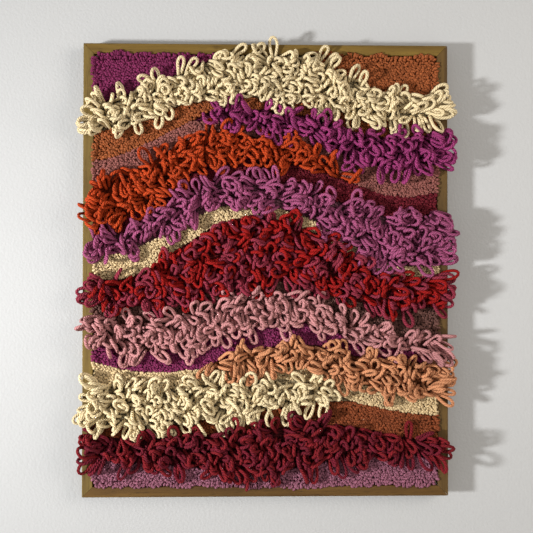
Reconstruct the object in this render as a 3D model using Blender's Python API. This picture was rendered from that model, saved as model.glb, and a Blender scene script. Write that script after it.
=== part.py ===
"""A framed punch needle wall piece: wavy bands of yarn pile on a foundation cloth, in a rebated frame.

Metres, +Z up. The front faces -Y and the back lies on the wall plane y = 0.
The origin is the middle of the top rail's back face.
"""

import math
import random
from collections import namedtuple

import bmesh
import bpy
from mathutils import Vector, noise

# What lies between two pieces that touch, and between two bands
PIECE_GAP = 0.0003
BAND_GAP = 0.0004

# The frame's driving sizes
FRAME_WIDTH = 0.525
FRAME_HEIGHT = 0.650
FRAME_DEPTH = 0.024
FACE_WIDTH = 0.015
LEDGE_WIDTH = 0.012
EDGE_CHAMFER = 0.0008

# The foundation cloth, stretched over the frame's ledge
CLOTH_SETBACK = 0.005
CLOTH_THICKNESS = 0.002
CLOTH_CLEARANCE = 0.0015

# The pile, as heights above the cloth, and the corners of the area that it fills
GROUND_HEIGHT = 0.0065
GROUND_ROUNDING = 0.002
GROUND_ROUNDING_SHARE = 0.3
GROUND_UNEVENNESS = 0.0006
NECK_HEIGHT = 0.0095
SHAG_HEIGHT = 0.028
SHAG_FULL_WIDTH = 0.030
PILE_CLEARANCE = 0.0025
CORNER_RADIUS = 0.006

# How the bands swing together
WAVE_HEIGHT = 0.024
WAVE_LENGTH = 0.400
WAVE_START = 0.2
WAVE_DRIFT = 2.9

# Steps along a band, the least part of a step that a tip may add, and the narrowest punched band
STATION_COUNT = 33
TIP_MIN_STEP = 0.1
GROUND_MIN_WIDTH = 0.003
SHAG_MIN_WIDTH = 0.006

# How far long pile leans out over its neighbours, and over the frame
LEAN_OVER_GROUND = 0.012
LEAN_OVER_FRAME = 0.028
LEAN_SHARE = 0.45
BULGE_SHARE = 0.45
BULGE_MIN_HEIGHT = 0.0105
FRAME_CLEARANCE = 0.0015
LUMP_HEIGHT = 0.0035
LUMP_SIZE = 0.022
LUMP_CHANGE = 7.3

# Below this width the tip of a band that tapers off stays upright
UPRIGHT_TIP_WIDTH = 0.0078

# The locks at a band's rim, as lengths and as shares of their direction
LOCK_SEED = 100
LOCK_LENGTH = 0.012
LOCK_MIN_ROOM = 0.004
LOCK_MIN_BAND_WIDTH = 0.012
LOCK_SLANT = 1.5
LOCK_MAX_OUTWARD = 0.9
LOCK_SWAY = 0.45
LOCKS_EVERY = 2
END_LOCK_LENGTH = 0.007
END_LOCK_FORWARD = (0.1, 0.6)
END_LOCK_SWAY = 0.3

CENTRE_Z = (FACE_WIDTH + LEDGE_WIDTH) / 2 - FRAME_HEIGHT / 2
CLOTH_FRONT_Y = -(FRAME_DEPTH - CLOTH_SETBACK)
OPENING_WIDTH = FRAME_WIDTH - 2 * FACE_WIDTH
OPENING_HEIGHT = FRAME_HEIGHT - 2 * FACE_WIDTH
PILE_HALF_WIDTH = OPENING_WIDTH / 2 - PILE_CLEARANCE
PILE_BOTTOM = CENTRE_Z - OPENING_HEIGHT / 2 + PILE_CLEARANCE
PILE_TOP = CENTRE_Z + OPENING_HEIGHT / 2 - PILE_CLEARANCE

# One row for each band of pile, from the bottom up. The widths are its shares of the panel's height,
# in millimetres, at the left edge, the middle and the right edge. A band ends where its width falls
# to nothing.
Band = namedtuple("Band", "name pile colour left middle right")
BANDS = (
    Band("ground_mauve", "ground", "mauve", 34, 16, 44),
    Band("shag_wine", "shag", "wine", 34, 50, 26),
    Band("ground_rust", "ground", "rust", 16, 22, 40),
    Band("shag_cream_low", "shag", "cream", 64, 34, -30),
    Band("ground_sand", "ground", "beige", 30, 14, 34),
    Band("shag_copper", "shag", "copper", -50, 24, 50),
    Band("ground_plum_low", "ground", "plum", 30, 28, 16),
    Band("shag_rose", "shag", "rose", 44, 34, 20),
    Band("ground_cocoa", "ground", "cocoa", 22, 16, 44),
    Band("shag_cherry", "shag", "cherry", 34, 84, 40),
    Band("ground_beige", "ground", "beige", 38, 16, 18),
    Band("shag_mauve", "shag", "mauve", 24, 36, 66),
    Band("ground_wine", "ground", "wine", 16, 32, 26),
    Band("shag_orange", "shag", "orange", 56, 30, -26),
    Band("ground_rose", "ground", "rose", 28, 16, 40),
    Band("shag_plum", "shag", "plum", -30, 24, 40),
    Band("ground_ochre_low", "ground", "ochre", 36, 16, 22),
    Band("shag_cream_high", "shag", "cream", 36, 58, 28),
    Band("ground_ochre_high", "ground", "ochre", -60, -12, 60),
    Band("ground_plum_high", "ground", "plum", 60, -14, -60),
)

# Base colours, linear: each yarn, the cloth and the wood
Finish = namedtuple("Finish", "red green blue roughness")
FINISHES = {
    "mauve": Finish(0.30, 0.10, 0.20, 0.9),
    "wine": Finish(0.20, 0.015, 0.04, 0.9),
    "rust": Finish(0.30, 0.09, 0.03, 0.9),
    "cream": Finish(0.80, 0.66, 0.45, 0.9),
    "beige": Finish(0.62, 0.44, 0.25, 0.9),
    "copper": Finish(0.45, 0.17, 0.07, 0.9),
    "plum": Finish(0.20, 0.03, 0.12, 0.9),
    "rose": Finish(0.50, 0.24, 0.21, 0.9),
    "cocoa": Finish(0.15, 0.06, 0.05, 0.9),
    "cherry": Finish(0.38, 0.01, 0.02, 0.9),
    "orange": Finish(0.60, 0.10, 0.02, 0.9),
    "ochre": Finish(0.35, 0.14, 0.045, 0.9),
    "canvas": Finish(0.68, 0.60, 0.45, 0.95),
    "oak": Finish(0.26, 0.16, 0.06, 0.6),
}


def clear_scene():
    for obj in list(bpy.data.objects):
        bpy.data.objects.remove(obj, do_unlink=True)


def material(name):
    """The named finish as a Principled material, made once."""
    found = bpy.data.materials.get(name)
    if found:
        return found
    finish = FINISHES[name]
    made = bpy.data.materials.new(name)
    made.use_nodes = True
    shader = made.node_tree.nodes["Principled BSDF"]
    shader.inputs["Base Color"].default_value = (finish.red, finish.green, finish.blue, 1)
    shader.inputs["Roughness"].default_value = finish.roughness
    shader.inputs["Metallic"].default_value = 0
    return made


def add_object(name, bm, finish, parent):
    """The bmesh as a named object with one material, its faces turned outwards."""
    bmesh.ops.recalc_face_normals(bm, faces=bm.faces)
    if bm.calc_volume(signed=True) < 0:
        bmesh.ops.reverse_faces(bm, faces=bm.faces)
    mesh = bpy.data.meshes.new(name)
    bm.to_mesh(mesh)
    bm.free()
    mesh.materials.append(material(finish))
    obj = bpy.data.objects.new(name, mesh)
    bpy.context.scene.collection.objects.link(obj)
    obj.parent = parent
    return obj


def loft(rings):
    """A closed bmesh through rings of the same number of points, with both ends capped.

    Returns it with its side faces as rows: faces[i][j] joins points j and j + 1 of rings i and i + 1.
    """
    bm = bmesh.new()
    loops = [[bm.verts.new(point) for point in ring] for ring in rings]
    count = len(loops[0])
    faces = []
    for near, far in zip(loops, loops[1:]):
        row = []
        for j in range(count):
            k = (j + 1) % count
            row.append(bm.faces.new((near[j], near[k], far[k], far[j])))
        faces.append(row)
    bm.faces.new(loops[0])
    bm.faces.new(loops[-1])
    bmesh.ops.recalc_face_normals(bm, faces=bm.faces)
    return bm, faces


# The frame: each rail is one rebated section with a mitre at both ends
def rail_section():
    """Points (inward, y) round the section: face in front, ledge behind the cloth, back on the wall."""
    ledge_y = CLOTH_FRONT_Y + CLOTH_THICKNESS + PIECE_GAP
    inner = FACE_WIDTH + LEDGE_WIDTH
    return (
        (0, 0),
        (0, -FRAME_DEPTH + EDGE_CHAMFER),
        (EDGE_CHAMFER, -FRAME_DEPTH),
        (FACE_WIDTH - EDGE_CHAMFER, -FRAME_DEPTH),
        (FACE_WIDTH, -FRAME_DEPTH + EDGE_CHAMFER),
        (FACE_WIDTH, ledge_y),
        (inner, ledge_y),
        (inner, 0),
    )


def add_rail(name, length, reach, turn, parent):
    """A rail of that outer length, turned into place with its outer edge that far from the centre."""
    half = length / 2 - PIECE_GAP / math.sqrt(2)
    ends = []
    for side in (-1, 1):
        ends.append([Vector((side * (half - inward), y, reach - inward)) for inward, y in rail_section()])
    bm, _ = loft(ends)
    rail = add_object(name, bm, "oak", parent)
    rail.location = (0, 0, CENTRE_Z)
    rail.rotation_euler = (0, turn, 0)
    return rail


def add_frame(parent):
    add_rail("rail_top", FRAME_WIDTH, FRAME_HEIGHT / 2, 0, parent)
    add_rail("rail_right", FRAME_HEIGHT, FRAME_WIDTH / 2, math.pi / 2, parent)
    add_rail("rail_bottom", FRAME_WIDTH, FRAME_HEIGHT / 2, math.pi, parent)
    add_rail("rail_left", FRAME_HEIGHT, FRAME_WIDTH / 2, -math.pi / 2, parent)


def add_cloth(parent):
    """The foundation cloth as a flat sheet that fills the rebate."""
    half_width = OPENING_WIDTH / 2 - CLOTH_CLEARANCE
    half_height = OPENING_HEIGHT / 2 - CLOTH_CLEARANCE
    corners = ((-1, -1), (1, -1), (1, 1), (-1, 1))
    rings = []
    for y in (CLOTH_FRONT_Y, CLOTH_FRONT_Y + CLOTH_THICKNESS):
        rings.append([Vector((a * half_width, y, CENTRE_Z + b * half_height)) for a, b in corners])
    bm, _ = loft(rings)
    add_object("foundation_cloth", bm, "canvas", parent)


# The layout: the edges between bands, as polylines over shared stations
def eased(a, b, t):
    t = t * t * (3 - 2 * t)
    return a + (b - a) * t


def band_share(band, x):
    """A band's width at x before the stack is fitted to the panel."""
    across = x / PILE_HALF_WIDTH
    if across < 0:
        value = eased(band.left, band.middle, across + 1)
    else:
        value = eased(band.middle, band.right, across)
    return max(0.0, value)


def corner_inset(x):
    """How far the pile's rounded corners draw its top and bottom edges in at x."""
    past = abs(x) - (PILE_HALF_WIDTH - CORNER_RADIUS)
    if past <= 0:
        return 0.0
    return CORNER_RADIUS - math.sqrt(max(0.0, CORNER_RADIUS**2 - past**2))


def edges_at(x):
    """The heights z of every edge between bands at x, from the bottom up."""
    shares = [band_share(band, x) for band in BANDS]
    low = PILE_BOTTOM + corner_inset(x)
    high = PILE_TOP - corner_inset(x)
    edges = [low]
    passed = 0.0
    for share in shares:
        passed += share
        part = passed / sum(shares)
        phase = 2 * math.pi * x / WAVE_LENGTH + WAVE_START + WAVE_DRIFT * part
        swing = WAVE_HEIGHT * math.sin(math.pi * part) * math.sin(phase)
        edges.append(low + (high - low) * part + swing)
    return edges


STATION_STEP = 2 * PILE_HALF_WIDTH / (STATION_COUNT - 1)
STATIONS = [-PILE_HALF_WIDTH + i * STATION_STEP for i in range(STATION_COUNT)]
EDGES = [edges_at(x) for x in STATIONS]


def edge(k, x):
    """Height of edge k at x, straight between stations so that neighbouring bands keep their gap."""
    place = min(max((x + PILE_HALF_WIDTH) / STATION_STEP, 0), STATION_COUNT - 1)
    i = min(int(place), STATION_COUNT - 2)
    t = place - i
    return EDGES[i][k] * (1 - t) + EDGES[i + 1][k] * t


def width(k, x):
    return edge(k + 1, x) - edge(k, x)


def taper_station(k, i, step, least):
    """Where band k narrows to that width, between station i and the next one on that side."""
    if not 0 <= i + step < STATION_COUNT:
        return []
    here = width(k, STATIONS[i])
    there = width(k, STATIONS[i + step])
    t = (here - least) / (here - there)
    return [STATIONS[i] + step * t * STATION_STEP] if t > TIP_MIN_STEP else []


def stations_of(k, least):
    """The stations along band k, from where it is at least that wide to where it is no longer."""
    wide = [i for i in range(STATION_COUNT) if width(k, STATIONS[i]) >= least]
    first = taper_station(k, wide[0], -1, least)
    last = taper_station(k, wide[-1], 1, least)
    return first + [STATIONS[i] for i in wide] + last


def lean_room(k, side, x):
    """How far the long pile of band k may lean out at x, downwards for side -1 and upwards for side 1."""
    ground = 0.0
    n = k + side
    while 0 <= n < len(BANDS):
        if BANDS[n].pile == "shag" and width(n, x) > SHAG_MIN_WIDTH:
            return min(LEAN_OVER_GROUND, LEAN_SHARE * ground)
        ground += width(n, x)
        n += side
    return max(LEAN_OVER_GROUND, LEAN_OVER_FRAME - ground)


def lump(x, z, band_number):
    """The pile's unevenness, from -1 to 1."""
    return noise.noise(Vector((x / LUMP_SIZE, z / LUMP_SIZE, LUMP_CHANGE * band_number)))


def at_height(x, z, height):
    """A point above the cloth's front face."""
    return Vector((x, CLOTH_FRONT_Y - height, z))


# Short pile: a slab with rounded edges between two band edges
def add_ground_band(k, parent):
    rings = []
    for x in stations_of(k, GROUND_MIN_WIDTH):
        low = edge(k, x) + BAND_GAP / 2
        high = edge(k + 1, x) - BAND_GAP / 2
        rounding = min(GROUND_ROUNDING, GROUND_ROUNDING_SHARE * (high - low))
        top = GROUND_HEIGHT + GROUND_UNEVENNESS * lump(x, low, k)
        rings.append(
            [
                at_height(x, low, PIECE_GAP),
                at_height(x, high, PIECE_GAP),
                at_height(x, high, top - rounding),
                at_height(x, (low + high) / 2, top),
                at_height(x, low, top - rounding),
            ]
        )
    bm, _ = loft(rings)
    add_object(BANDS[k].name, bm, BANDS[k].colour, parent)


# Long pile: a lumpy slab that bulges past its roots, with locks at its rim.
# One row for each point round its section. The side is -1 for the lower edge and 1 for the upper one,
# across is a share of half the width, bulge a share of the bulge, and rise a share of the height, for
# the free pile only.
SectionPoint = namedtuple("SectionPoint", "level side across bulge rise")
SECTION = (
    SectionPoint("root", -1, 1, 0, 0),
    SectionPoint("root", 1, 1, 0, 0),
    SectionPoint("neck", 1, 1, 0, 0),
    SectionPoint("free", 1, 1, 1, 0.48),
    SectionPoint("free", 1, 1, 0.7, 0.80),
    SectionPoint("free", 1, 0.62, 0, 0.97),
    SectionPoint("free", 0, 0, 0, 1),
    SectionPoint("free", -1, 0.62, 0, 0.97),
    SectionPoint("free", -1, 1, 0.7, 0.80),
    SectionPoint("free", -1, 1, 1, 0.48),
    SectionPoint("neck", -1, 1, 0, 0),
)
# The faces that locks grow from, each by the row above where it starts
RIM_FACES = {1: (3, 4), -1: (8, 7)}
END_FACES = (2, 4, 8)

# How a band's end bulges over the frame: steps out, and how much the section has drawn in
EndStep = namedtuple("EndStep", "outward spread")
END_STEPS = (EndStep(0.0003, 1.0), EndStep(0.009, 0.92), EndStep(0.017, 0.6))
END_CENTRE_HEIGHT = 0.016

# The two steps of a lock: their shares of its length, and how much each draws in
LockStep = namedtuple("LockStep", "share taper")
LOCK_STEPS = (LockStep(0.55, 0.62), LockStep(0.45, 0.55))


def meets_edge(x):
    """Whether a band that ends at x ends at the panel's side."""
    return abs(x) > PILE_HALF_WIDTH - PIECE_GAP


def bulge_at(k, side, x):
    """How far the slab itself leans out."""
    if width(k, x) < UPRIGHT_TIP_WIDTH and not meets_edge(x):
        return 0.0
    return BULGE_SHARE * lean_room(k, side, x)


def shag_ring(k, x):
    """The section of long-pile band k at x, with its lumps."""
    low = edge(k, x) + BAND_GAP / 2
    high = edge(k + 1, x) - BAND_GAP / 2
    full_height = SHAG_HEIGHT * min(1.0, math.sqrt((high - low) / SHAG_FULL_WIDTH))
    bulges = {-1: bulge_at(k, -1, x), 0: 0.0, 1: bulge_at(k, 1, x)}
    ring = []
    for point in SECTION:
        half = point.across * (high - low) / 2
        z = (low + high) / 2 + point.side * (half + bulges[point.side] * point.bulge)
        if point.level == "root":
            height = PIECE_GAP
        elif point.level == "neck":
            height = NECK_HEIGHT
        else:
            height = max(full_height * point.rise + LUMP_HEIGHT * lump(x, z, k), BULGE_MIN_HEIGHT)
        ring.append(at_height(x, z, height))
    return ring


def end_rings(ring, side):
    """The rings that carry a band's end out over the frame, from its last section."""
    floor = CLOTH_SETBACK + FRAME_CLEARANCE
    centre = sum(ring, Vector()) / len(ring)
    centre.y = CLOTH_FRONT_Y - END_CENTRE_HEIGHT
    rings = []
    for step in END_STEPS:
        made = []
        for point in ring:
            moved = centre + (point - centre) * step.spread
            moved.x = point.x + side * step.outward
            moved.y = min(moved.y, CLOTH_FRONT_Y - floor)
            made.append(moved)
        rings.append(made)
    return rings


def grow_lock(bm, face, direction, length):
    """Draws a face out into a tapered, four-sided lock."""
    for step in LOCK_STEPS:
        made = bmesh.ops.extrude_discrete_faces(bm, faces=[face])["faces"][0]
        centre = made.calc_center_median()
        moved = centre + direction * (length * step.share)
        for vert in made.verts:
            vert.co = moved + (vert.co - centre) * step.taper
        face = made


def add_rim_locks(bm, faces, k, xs, first, draw):
    """Locks that slant outwards along both long sides, never past half of the ground beside them."""
    for side in (1, -1):
        for i in range(1, len(xs) - 2, LOCKS_EVERY):
            room = min(lean_room(k, side, xs[i]), lean_room(k, side, xs[i + 1]))
            if room < LOCK_MIN_ROOM or width(k, xs[i]) < LOCK_MIN_BAND_WIDTH:
                continue
            reach = (1 - BULGE_SHARE) * room
            length = min(LOCK_LENGTH, LOCK_SLANT * reach)
            outward = min(LOCK_MAX_OUTWARD, reach / length)
            sway = draw.uniform(-LOCK_SWAY, LOCK_SWAY)
            direction = Vector((sway, -math.sqrt(1 - outward**2), side * outward)).normalized()
            grow_lock(bm, faces[first + i][draw.choice(RIM_FACES[side])], direction, length)


def add_end_locks(bm, row, side, draw):
    """Locks that stand out sideways over the frame."""
    for j in END_FACES:
        forward = draw.uniform(*END_LOCK_FORWARD)
        sway = draw.uniform(-END_LOCK_SWAY, END_LOCK_SWAY)
        grow_lock(bm, row[j], Vector((side, -forward, sway)).normalized(), END_LOCK_LENGTH)


def add_shag_band(k, parent):
    draw = random.Random(LOCK_SEED + k)
    xs = stations_of(k, SHAG_MIN_WIDTH)
    rings = [shag_ring(k, x) for x in xs]
    left_end = end_rings(rings[0], -1)[::-1] if meets_edge(xs[0]) else []
    right_end = end_rings(rings[-1], 1) if meets_edge(xs[-1]) else []
    bm, faces = loft(left_end + rings + right_end)
    add_rim_locks(bm, faces, k, xs, len(left_end), draw)
    if left_end:
        add_end_locks(bm, faces[0], -1, draw)
    if right_end:
        add_end_locks(bm, faces[-1], 1, draw)
    add_object(BANDS[k].name, bm, BANDS[k].colour, parent)


def main():
    clear_scene()
    piece = bpy.data.objects.new("punch_needle_piece", None)
    bpy.context.scene.collection.objects.link(piece)
    add_frame(piece)
    add_cloth(piece)
    for k, band in enumerate(BANDS):
        if band.pile == "ground":
            add_ground_band(k, piece)
        else:
            add_shag_band(k, piece)


main()
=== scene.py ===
"""Looks of the framed punch needle wall piece: yarn, stitched cloth, oak rails, wall, light and camera."""

import math
from collections import namedtuple

import bmesh
import bpy
import numpy as np
from mathutils import Matrix, Vector, noise


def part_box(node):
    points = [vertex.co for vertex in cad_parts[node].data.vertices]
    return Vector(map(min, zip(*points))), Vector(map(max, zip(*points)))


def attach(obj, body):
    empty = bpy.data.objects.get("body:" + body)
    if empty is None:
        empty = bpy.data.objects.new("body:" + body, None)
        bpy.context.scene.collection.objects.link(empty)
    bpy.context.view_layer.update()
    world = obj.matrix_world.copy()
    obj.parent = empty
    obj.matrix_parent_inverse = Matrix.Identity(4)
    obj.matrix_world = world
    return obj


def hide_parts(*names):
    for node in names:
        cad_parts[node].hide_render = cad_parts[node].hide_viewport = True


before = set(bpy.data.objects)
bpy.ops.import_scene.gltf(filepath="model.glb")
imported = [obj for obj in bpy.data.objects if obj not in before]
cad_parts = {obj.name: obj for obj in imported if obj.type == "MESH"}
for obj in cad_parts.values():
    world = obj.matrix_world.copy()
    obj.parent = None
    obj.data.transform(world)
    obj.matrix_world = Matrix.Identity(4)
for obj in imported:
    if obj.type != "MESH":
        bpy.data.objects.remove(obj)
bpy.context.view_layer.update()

# Lengths are in metres where nothing else is said. The loops' tilt, the lights' spread and the camera's
# angles are in degrees, and other angles in radians.

# The frame's sizes, from the solids
CLOTH_LOW, CLOTH_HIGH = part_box("foundation_cloth")
FRAME_LOW = Vector((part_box("rail_left")[0].x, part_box("rail_left")[0].y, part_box("rail_bottom")[0].z))
FRAME_HIGH = Vector((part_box("rail_right")[1].x, 0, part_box("rail_top")[1].z))
CLOTH_FRONT_Y = CLOTH_LOW.y
FACE_HEIGHT = CLOTH_FRONT_Y - FRAME_LOW.y
FACE_WIDTH = 0.015
OPENING_HALF_WIDTH = FRAME_HIGH.x - FACE_WIDTH
OPENING_HALF_HEIGHT = (FRAME_HIGH.z - FRAME_LOW.z) / 2 - FACE_WIDTH
PILE_CLEARANCE = 0.0025
PILE_LEFT = FRAME_LOW.x + FACE_WIDTH + PILE_CLEARANCE
PILE_RIGHT = FRAME_HIGH.x - FACE_WIDTH - PILE_CLEARANCE
PILE_BOTTOM = FRAME_LOW.z + FACE_WIDTH + PILE_CLEARANCE
PILE_TOP = FRAME_HIGH.z - FACE_WIDTH - PILE_CLEARANCE
PILE_HALF_WIDTH = (PILE_RIGHT - PILE_LEFT) / 2
CENTRE_Z = (PILE_BOTTOM + PILE_TOP) / 2
CORNER_RADIUS = 0.006

# The bands' layout, as in the part's source
WAVE_HEIGHT = 0.024
WAVE_LENGTH = 0.400
WAVE_START = 0.2
WAVE_DRIFT = 2.9
STATION_COUNT = 129

# One row for each band of pile, from the bottom up. The widths are its shares of the panel's height, in
# millimetres, at the left edge, the middle and the right edge. A band ends where its width falls to nothing.
Band = namedtuple("Band", "name pile colour left middle right")
BANDS = (
    Band("ground_mauve", "ground", "mauve", 34, 16, 44),
    Band("shag_wine", "shag", "wine", 34, 50, 26),
    Band("ground_rust", "ground", "rust", 16, 22, 40),
    Band("shag_cream_low", "shag", "cream", 64, 34, -30),
    Band("ground_sand", "ground", "beige", 30, 14, 34),
    Band("shag_copper", "shag", "copper", -50, 24, 50),
    Band("ground_plum_low", "ground", "plum", 30, 28, 16),
    Band("shag_rose", "shag", "rose", 44, 34, 20),
    Band("ground_cocoa", "ground", "cocoa", 22, 16, 44),
    Band("shag_cherry", "shag", "cherry", 34, 84, 40),
    Band("ground_beige", "ground", "beige", 38, 16, 18),
    Band("shag_mauve", "shag", "mauve", 24, 36, 66),
    Band("ground_wine", "ground", "wine", 16, 32, 26),
    Band("shag_orange", "shag", "orange", 56, 30, -26),
    Band("ground_rose", "ground", "rose", 28, 16, 40),
    Band("shag_plum", "shag", "plum", -30, 24, 40),
    Band("ground_ochre_low", "ground", "ochre", 36, 16, 22),
    Band("shag_cream_high", "shag", "cream", 36, 58, 28),
    Band("ground_ochre_high", "ground", "ochre", -60, -12, 60),
    Band("ground_plum_high", "ground", "plum", 60, -14, -60),
)

# Yarn colours as display values from 0 to 255, for long and for short pile. The second one of a pair is a
# yarn that is punched in among the first. Paler wool lets more light into the grooves between its plies.
# groove_shade is how much shade is painted into the grooves between the plies, and groove_depth is how deep
# they are
Yarn = namedtuple("Yarn", "long second short groove_shade groove_depth", defaults=(0.52, 0.0012))
YARNS = {
    "mauve": Yarn((138, 66, 99), None, (131, 81, 97), 0.44, 0.0011),
    "wine": Yarn((97, 17, 32), (110, 18, 25), (88, 16, 27)),
    "rust": Yarn((138, 64, 30), None, (116, 58, 30)),
    "cream": Yarn((207, 188, 148), None, (184, 166, 129), 0.30, 0.0010),
    "beige": Yarn((189, 168, 131), None, (190, 166, 125)),
    "copper": Yarn((177, 120, 84), None, (138, 81, 47), 0.34, 0.0009),
    "plum": Yarn((134, 47, 95), None, (108, 34, 71)),
    "rose": Yarn((165, 112, 111), None, (125, 75, 68), 0.34, 0.0009),
    "cocoa": Yarn((95, 66, 58), None, (90, 59, 52)),
    "cherry": Yarn((131, 9, 6), (121, 37, 53), (110, 18, 24)),
    "orange": Yarn((160, 54, 14), None, (143, 52, 20)),
    "ochre": Yarn((147, 88, 49), None, (134, 72, 37)),
}

# Where loops are punched, in shares of the pitch
FIRST_COLUMN = 0.25
ROW_SHIFT = 0.5
PLACE_JITTER = 0.22

# Long loops. A tuple of two is the range that each loop draws from.
SHAG_PITCH = 0.0099
SHAG_MARGIN = 0.0022
SHAG_LENGTH = (0.048, 0.068)
SHAG_HALF_WIDTH = (0.0026, 0.0040)
SHAG_TILT = (4, 30)
SHAG_TWIST = 2.4
SHAG_RISE = 0.46
SHAG_ROUNDNESS = 0.8
SHAG_FOOT_SHARE = 0.5
SHAG_RADIUS = 0.0024
SHAG_THICKNESS = (0.93, 1.05)
SHAG_POINTS = 20
SHAG_SIDES = 6
SHAG_PLY_LENGTH = 0.0123
OPEN_SHARE = 0.006
FOOT_GAP = 0.0058
SIDE_INSET = 0.0045
SIDE_SPACING = 0.0062

# Short loops
GROUND_PITCH = 0.00338
GROUND_MARGIN = 0.0014
GROUND_HEIGHT = 0.0065
GROUND_HEIGHT_SHARES = (0.88, 1.12)
GROUND_HALF_WIDTH = 0.0012
GROUND_TILT = 0.16
GROUND_ROUNDNESS = 0.6
GROUND_RADIUS = 0.0018
GROUND_THICKNESS = (0.9, 1.1)
GROUND_POINTS = 4
GROUND_SIDES = 5
GROUND_PLY_LENGTH = 0.008
GROUND_GROOVE_DEPTH = 0.0005
GROUND_GROOVE_SHADE = 0.22

# Where the short loops lean out over the frame
RIM_REACH = 0.007
RIM_TILT = 0.9
RIM_GROWTH = 1.0
RIM_PATCH = 0.018
RIM_SEED = 8.4
RIM_UNEVENNESS = 1.1
RIM_SPILL = (0.3, 1.7)

# Which way the long loops lean
LEAN_PATCH = 0.022
LEAN_SEED = 3.1
LEAN_SWING = 2.2 * math.pi
LEAN_SPREAD = 0.7
LEAN_LIMITS = (0.5, 1.5)
DROOP = 0.25
EDGE_REACH = 0.010
EDGE_LEAN = 0.6
SIDE_REACH = 0.034
SIDE_CALM = 0.35
SIDE_FALLOFF = 0.6
SIDE_GROWTH = 0.20
RIGHT_LEAN = 0.9
LEFT_LEAN = 0.8

# How the long loops settle. A row of STAY_OPEN keeps points that are so many steps apart from closing up
# below a share of the yarn between them.
SETTLE_STEPS = 110
LENGTH_PASSES = 3
LENGTH_STIFFNESS = 0.9
SPRINGINESS = (0.35, 0.8)
STAY_OPEN = ((2, (0.91, 0.97)), (4, (0.66, 0.84)), (8, (0.38, 0.60)))
LEAN_PULL = 0.00020
SINK_PULL = 0.00003
PAIR_RENEWAL = 3
PAIR_REACH = 1.35
NEIGHBOUR_STEPS = 3
STRAND_GAP = 1.96 * SHAG_RADIUS
PUSH_SHARE = 0.38
FLOOR_STEP = 0.0015
FLOOR_BORDER = 0.05
FLOOR_SMOOTHINGS = 2

# A tube that starts more along x than this has its rings laid out from z. TINY stands in for a length of 0.
MOSTLY_SIDEWAYS = 0.8
TINY = 1e-9

# Looks of the yarn. A tone's first number is the least share of light, and the second is what varies on top.
# A noise is its scale, with its detail and its roughness where they aren't the usual ones.
PLIES = 3
LOOP_TONE = (0.86, 0.26)
PATCH_TONE = (0.80, 0.4)
FUZZ_TONE = (0.82, 0.36)
# Painted light on the ridges of the plies
PLY_RIDGE_PAINTED_LIGHT = 1.07
TONE_SCRAMBLE = 7.31
SECOND_YARN_FROM = 0.5
YARN_FUZZ = (1400, 3.0, 0.6)
YARN_PATCHES = (60, 2.0)
GROOVE_STRENGTH = 0.9
FUZZ_DEPTH = 0.0004
FUZZ_STRENGTH = 0.6
YARN_FINISH = {"Roughness": 0.88, "Specular IOR Level": 0.18, "Sheen Weight": 0.35, "Sheen Roughness": 0.5}

# Looks of the oak
GRAIN_STRETCH = 0.05
OAK_FIGURE = (110, 4.0, 0.6)
OAK_PORES = (900, 3.0, 0.7)
OAK_WEAR = (9, 3.0)
FIGURE_RANGE = (0.3, 0.7)
PORE_RANGE = (0.56, 0.72)
WEAR_RANGE = (0.35, 0.8)
WEAR_SHARE = 0.5
PORE_TONE = 0.45
OAK_ROUGHNESS = (0.56, 0.25)
PORE_DEPTH = 0.0004
PORE_STRENGTH = 0.5
FIGURE_DEPTH = 0.0006
FIGURE_STRENGTH = 0.4
OAK_FINISH = {"Specular IOR Level": 0.2}

# The foundation cloth: its mesh, its flat stitches and its weave
SHEET_COLUMN = 0.0075
SHEET_ROW = 0.016
SHEET_JOIN = 0.0002
STITCH_LENGTH = 0.0068
STITCH_ROW = 0.0042
STITCH_WANDER = 1.1
STITCH_DRIFT = (45, 2.0)
STITCH_ENDS = 0.3
STITCH_SIDES = 0.45
STITCH_TONE = (0.72, 0.34)
# Painted shade where the stitches meet
STITCH_SHADE = (0.25, 0.75)
STITCH_DEPTH = 0.0018
STITCH_STRENGTH = 0.9
ROW_SCRAMBLE = 37.7
WEAVE = 0.0021
WEAVE_SHARE = 0.25
# Painted shade between the weave's threads, then the threads' own colour
WEAVE_THREAD_AND_SHADE_COLOURS = ((140, 127, 100), (200, 188, 160))
CLOTH_FIBRES = (1200, 3.0, 0.6)
FIBRE_COLOUR = (60, 48, 40)
FIBRE_SHARE = 0.3
FIBRE_DEPTH = 0.0004
FIBRE_STRENGTH = 0.5
CLOTH_FINISH = {"Roughness": 0.92, "Specular IOR Level": 0.15}

# The rails: the axis of the grain, and a light and a dark tone. The bottom and right rails' tones are darker:
# painted shade.
RAIL_TONES_AND_PAINTED_SHADE = (
    ("rail_top", 0, (114, 90, 35), (80, 59, 20)),
    ("rail_left", 2, (114, 94, 44), (80, 61, 26)),
    ("rail_bottom", 0, (98, 71, 28), (64, 42, 15)),
    ("rail_right", 2, (94, 71, 32), (61, 43, 19)),
)

# The wall and the floor, which aren't part of the piece
WALL_Y = 0.0006
WALL_REACH = 2.6
WALL_COLOUR = (170, 170, 169)
WALL_RELIEF = 0.0012
HOLE_INSET = 0.002
FLOOR_Z = -1.55
FLOOR_COLOUR = (226, 225, 222)
FLOOR_RELIEF = 0.0003
PAINT_SPECKLE = (260, 3.0)
PAINT_DRIFT = (3, 2.0)
PAINT_TONE = 0.98
PAINT_STRENGTH = 0.4
PAINT_FINISH = {"Roughness": 1.0, "Specular IOR Level": 0.1}

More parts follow.
